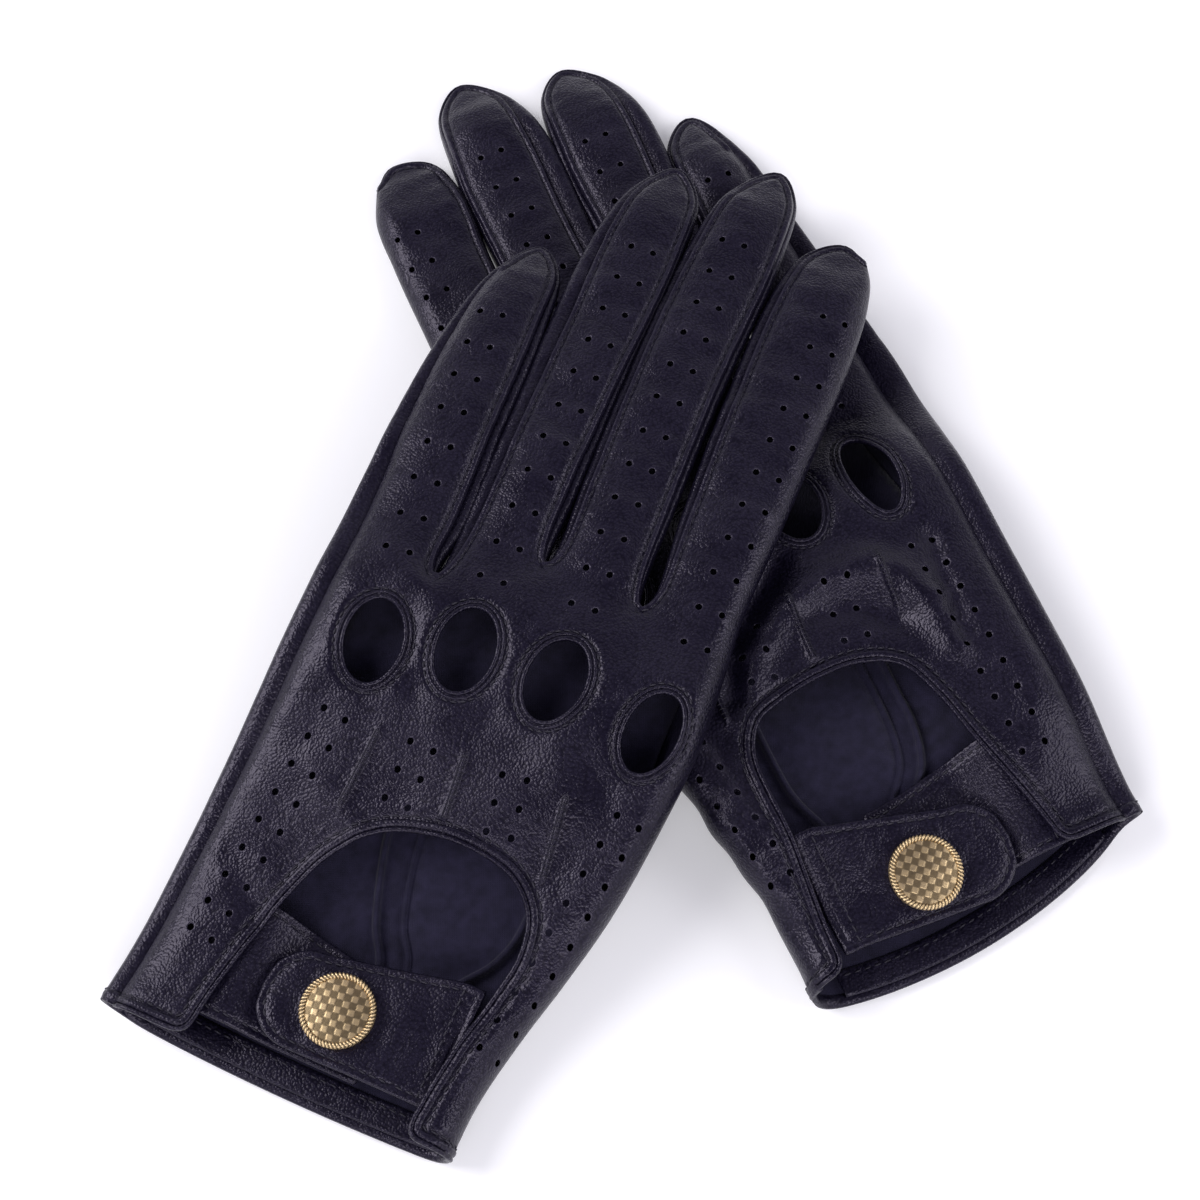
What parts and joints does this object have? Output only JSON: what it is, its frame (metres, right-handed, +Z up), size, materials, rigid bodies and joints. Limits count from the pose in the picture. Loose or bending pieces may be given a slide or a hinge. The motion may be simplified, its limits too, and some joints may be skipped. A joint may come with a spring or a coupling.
{
  "type": "driving gloves",
  "caption": "Pair of black leather driving gloves, left laid over right, with knuckle holes, perforated fingers and a strapped wrist opening closed by a domed snap.",
  "frame": {"origin": "on the table under the middle of the pair's footprint", "axes": "+Z up from the table; +Y towards the fingertips, between the two gloves; +X to the right of a viewer who faces the fingertips"},
  "size_m": [0.2088, 0.2532, 0.0306],
  "materials": {
    "black_leather": "fine-grained black lambskin with a satin sheen, lapped stitched seams",
    "cotton_lining": "dark navy cotton jersey",
    "antique_brass": "antiqued brass with a checked face and a rope rim, worn bright on its high spots",
    "plain_brass": "plain pressed brass"
  },
  "bodies": {
    "right_glove": {"right_hand_back": "black_leather", "right_hand_palm": "black_leather", "right_palm_lining": "cotton_lining", "right_index_back": "black_leather", "right_index_palm": "black_leather", "right_index_outer_side_fourchette": "black_leather", "right_index_thumb_side": "black_leather", "right_middle_back": "black_leather", "right_middle_palm": "black_leather", "right_middle_outer_side_fourchette": "black_leather", "right_middle_thumb_side_fourchette": "black_leather", "right_ring_back": "black_leather", "right_ring_palm": "black_leather", "right_ring_outer_side_fourchette": "black_leather", "right_ring_thumb_side_fourchette": "black_leather", "right_little_back": "black_leather", "right_little_palm": "black_leather", "right_little_outer_side": "black_leather", "right_little_thumb_side_fourchette": "black_leather", "right_thumb_front": "black_leather", "right_thumb_back": "black_leather", "right_opening_binding": "black_leather", "right_cuff_binding": "black_leather", "right_stud_strap": "black_leather", "right_snap_stud": "plain_brass", "right_snap_eyelet": "plain_brass"},
    "right_strap": {"right_snap_strap": "black_leather", "right_snap_cap": "antique_brass", "right_snap_socket": "plain_brass"},
    "left_glove": {"left_hand_back": "black_leather", "left_hand_palm": "black_leather", "left_palm_lining": "cotton_lining", "left_thumb_front": "black_leather", "left_thumb_back": "black_leather", "left_opening_binding": "black_leather", "left_cuff_binding": "black_leather", "left_stud_strap": "black_leather", "left_snap_stud": "plain_brass", "left_snap_eyelet": "plain_brass"},
    "left_strap": {"left_snap_strap": "black_leather", "left_snap_cap": "antique_brass", "left_snap_socket": "plain_brass"},
    "left_index": {"left_index_back": "black_leather", "left_index_palm": "black_leather", "left_index_outer_side_fourchette": "black_leather", "left_index_thumb_side": "black_leather"},
    "left_middle": {"left_middle_back": "black_leather", "left_middle_palm": "black_leather", "left_middle_outer_side_fourchette": "black_leather", "left_middle_thumb_side_fourchette": "black_leather"},
    "left_ring": {"left_ring_back": "black_leather", "left_ring_palm": "black_leather", "left_ring_outer_side_fourchette": "black_leather", "left_ring_thumb_side_fourchette": "black_leather"},
    "left_little": {"left_little_back": "black_leather", "left_little_palm": "black_leather", "left_little_outer_side": "black_leather", "left_little_thumb_side_fourchette": "black_leather"}
  },
  "joints": [
    {"name": "left_glove_lift", "type": "slide", "parent": "right_glove", "child": "left_glove", "axis": [0, 0, 1], "range_m": [0, 0.09]},
    {"name": "left_index_lift", "type": "hinge", "parent": "left_glove", "child": "left_index", "pos_m": [0.01138, -0.02199, 0.02831], "axis": [0.9214, -0.3886, 0], "range_deg": [0, 30]},
    {"name": "left_middle_lift", "type": "hinge", "parent": "left_glove", "child": "left_middle", "pos_m": [-0.00777, -0.01343, 0.02831], "axis": [0.9309, -0.3653, 0], "range_deg": [0, 30]},
    {"name": "left_ring_lift", "type": "hinge", "parent": "left_glove", "child": "left_ring", "pos_m": [-0.02603, -0.00528, 0.02831], "axis": [0.9331, -0.3596, 0], "range_deg": [0, 30]},
    {"name": "left_little_lift", "type": "hinge", "parent": "left_glove", "child": "left_little", "pos_m": [-0.05065, -0.00688, 0.02831], "axis": [0.9238, -0.383, 0], "range_deg": [0, 30]},
    {"name": "left_strap_hinge", "type": "hinge", "parent": "left_glove", "child": "left_strap", "pos_m": [-0.0376, -0.10421, 0.01234], "axis": [0.4063, 0.9099, 0.0836], "range_deg": [0, 100]},
    {"name": "right_strap_hinge", "type": "hinge", "parent": "right_glove", "child": "right_strap", "pos_m": [0.03935, -0.07375, 0.0136], "axis": [0.4149, -0.8905, -0.1867], "range_deg": [0, 100]}
  ]
}
